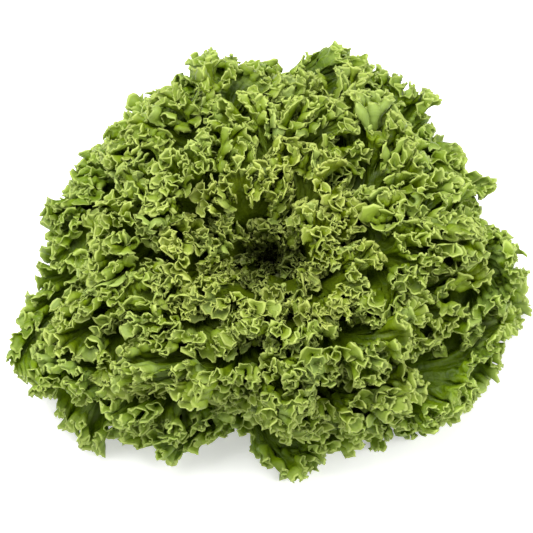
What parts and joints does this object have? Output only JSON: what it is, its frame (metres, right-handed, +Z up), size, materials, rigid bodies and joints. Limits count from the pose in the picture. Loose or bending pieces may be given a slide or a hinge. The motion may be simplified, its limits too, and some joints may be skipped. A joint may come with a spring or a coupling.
{
  "type": "lollo bionda lettuce head",
  "caption": "Low dome-shaped head of loose-leaf lettuce: a short cut stem and a rosette of thin leaves with densely frilled margins round a dark hollow heart.",
  "frame": {"origin": "centre of the stem's flat cut face, on the surface that the head stands on", "axes": "+Z up along the stem, out of the heart of the head; -Y towards the picture's viewer; +X to the picture's right"},
  "size_m": [0.3278, 0.3049, 0.1428],
  "materials": {
    "stem": "pale green-white cut stem flesh, matt, with a slightly browned cut face",
    "outer_leaf": "spring-green leaf blade, softly glossy, with a pale midrib and lighter frilled edge",
    "middle_leaf": "yellow-green leaf blade, softly glossy, with a lighter frilled edge",
    "inner_leaf": "pale yellow-green young leaf blade, softly glossy, finely frilled"
  },
  "bodies": {
    "root": {"stem": "stem", "leaf_01": "outer_leaf", "leaf_02": "outer_leaf", "leaf_03": "outer_leaf", "leaf_04": "outer_leaf", "leaf_05": "outer_leaf", "leaf_06": "outer_leaf", "leaf_07": "outer_leaf", "leaf_08": "outer_leaf", "leaf_09": "outer_leaf", "leaf_10": "outer_leaf", "leaf_11": "outer_leaf", "leaf_12": "outer_leaf", "leaf_13": "outer_leaf", "leaf_14": "middle_leaf", "leaf_15": "middle_leaf", "leaf_16": "middle_leaf", "leaf_17": "middle_leaf", "leaf_18": "middle_leaf", "leaf_19": "middle_leaf", "leaf_20": "middle_leaf", "leaf_21": "middle_leaf", "leaf_22": "middle_leaf", "leaf_23": "middle_leaf", "leaf_24": "middle_leaf", "leaf_25": "middle_leaf", "leaf_26": "middle_leaf", "leaf_27": "middle_leaf", "leaf_28": "inner_leaf", "leaf_29": "inner_leaf", "leaf_30": "inner_leaf", "leaf_31": "inner_leaf", "leaf_32": "inner_leaf", "leaf_33": "inner_leaf", "leaf_34": "inner_leaf", "leaf_35": "inner_leaf", "leaf_36": "inner_leaf", "leaf_37": "inner_leaf", "leaf_38": "inner_leaf", "leaf_39": "inner_leaf", "leaf_40": "inner_leaf"}
  },
  "joints": []
}
